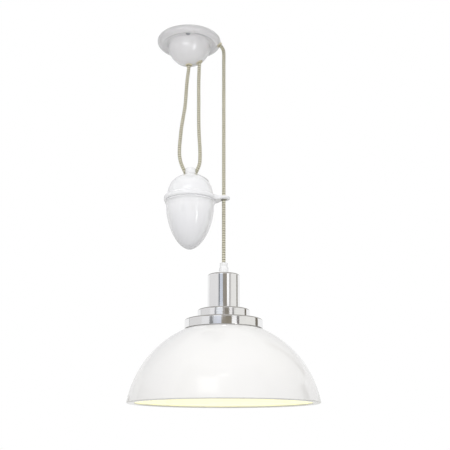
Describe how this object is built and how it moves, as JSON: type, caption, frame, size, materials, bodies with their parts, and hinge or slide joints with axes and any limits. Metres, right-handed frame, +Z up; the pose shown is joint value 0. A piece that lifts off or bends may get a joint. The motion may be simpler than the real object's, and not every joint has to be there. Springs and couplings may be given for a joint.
{
  "type": "rise and fall pendant",
  "caption": "Pendant light with a domed glass shade on braided flex that rises and falls against an egg-shaped counterweight hung from pulleys in a ceiling rose.",
  "frame": {"origin": "on the ceiling, at the middle of the ceiling rose's back face", "axes": "+Z up into the ceiling; +X from the rose's middle towards the lamp's flex; Y follows by the right hand, along the pulley pins"},
  "size_m": [0.3, 0.3, 0.6249],
  "materials": {
    "zinc_plate": "satin",
    "steel": "satin",
    "rose_glaze": "gloss",
    "weight_glaze": "gloss",
    "white_plastic": "gloss",
    "iron": "matte",
    "brass": "satin",
    "bush_beige": "matte",
    "nylon": "matte",
    "core_ceramic": "satin",
    "flex_braid": "matte",
    "core_insulation": "matte",
    "polished_metal": "polished",
    "opal_glass": "gloss",
    "bulb_metal": "satin",
    "bulb_opal": "satin"
  },
  "bodies": {
    "rose_assembly": {"ceiling_plate": "zinc_plate", "cover_posts": "zinc_plate", "rose_cover": "rose_glaze", "cover_screws": "steel", "pulley_cheeks": "zinc_plate", "cheek_rivets": "zinc_plate", "rose_pulley_pin": "steel", "bush_left": "bush_beige", "bush_right": "bush_beige", "side_bush": "bush_beige", "cord_clamp": "nylon", "clamp_screws": "steel", "terminal_block": "nylon", "terminal_screws": "brass", "earth_screw": "brass", "anchor_cord": "flex_braid", "cord_cores": "core_insulation", "pulley_cord": "flex_braid", "cord_left": "flex_braid", "cord_right": "flex_braid", "lamp_cord": "flex_braid"},
    "upper_pulley": {"rose_pulley": "brass"},
    "counterweight": {"weight_cap": "weight_glaze", "wheel_pin": "steel", "loop_cord": "flex_braid", "weight_clip": "steel", "guide_collar": "weight_glaze", "cap_disc": "zinc_plate", "tie_rod": "steel", "rod_nut": "zinc_plate", "ballast": "iron", "weight_bowl": "weight_glaze"},
    "lower_pulley": {"weight_wheel": "brass"},
    "lamp": {"cord_grip": "white_plastic", "grip_screw": "nylon", "grip_cord": "flex_braid", "entry_tube": "zinc_plate", "tube_nut": "zinc_plate", "gallery": "polished_metal", "holder_cap": "nylon", "holder_body": "nylon", "holder_core": "core_ceramic", "screw_shell": "brass", "shade_washer": "nylon", "shade_ring": "nylon", "shade": "opal_glass", "bulb_cap": "bulb_metal", "bulb_glass": "bulb_opal"}
  },
  "joints": [
    {"name": "weight_slide", "type": "slide", "parent": "rose_assembly", "child": "counterweight", "axis": [0, 0, 1], "range_m": [-0.02, 0.125], "deforming": ["cord_left", "cord_right"]},
    {"name": "lamp_rise", "type": "slide", "parent": "rose_assembly", "child": "lamp", "axis": [0, 0, 1], "range_m": [-0.25, 0.04], "deforming": ["lamp_cord"]},
    {"name": "rose_pulley_spin", "type": "hinge", "parent": "rose_assembly", "child": "upper_pulley", "pos_m": [0.022, 0, -0.0135], "axis": [0, 1, 0], "range_deg": [-275, 1690]},
    {"name": "weight_wheel_spin", "type": "hinge", "parent": "counterweight", "child": "lower_pulley", "pos_m": [0.005, 0, -0.2498], "axis": [0, 1, 0], "range_deg": [-1000, 165]}
  ],
  "couplings": [
    {"joint": "lamp_rise", "follows": "weight_slide", "ratio": -2},
    {"joint": "rose_pulley_spin", "follows": "weight_slide", "rad_per_m": 235.29},
    {"joint": "weight_wheel_spin", "follows": "weight_slide", "rad_per_m": -138.89}
  ]
}
